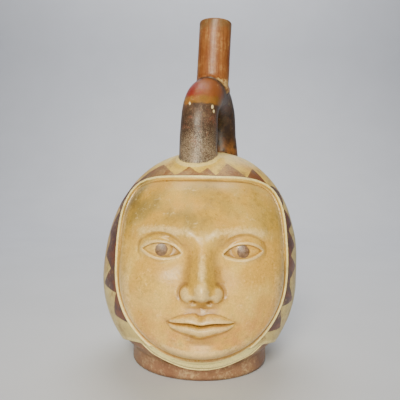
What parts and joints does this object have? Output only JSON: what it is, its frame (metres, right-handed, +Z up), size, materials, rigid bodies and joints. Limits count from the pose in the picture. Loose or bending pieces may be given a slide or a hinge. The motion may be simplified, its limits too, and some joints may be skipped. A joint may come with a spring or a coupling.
{
  "type": "stirrup spout vessel",
  "caption": "Hollow head-shaped pottery bottle whose stirrup-shaped tube handle carries an upright pouring spout; stands on its own flat foot",
  "frame": {"origin": "the centre of the flat underside of the foot", "axes": "+Z up, -Y the side the face looks to, +X the head's left-hand side, which is to the right in a view of the face"},
  "size_m": [0.17, 0.201, 0.3014],
  "materials": {
    "slip_painted_clay": "burnished earthenware with cream, red-brown, purple-brown and dark slips, worn"
  },
  "bodies": {
    "root": {"stirrup_spout_vessel": "slip_painted_clay"}
  },
  "joints": []
}
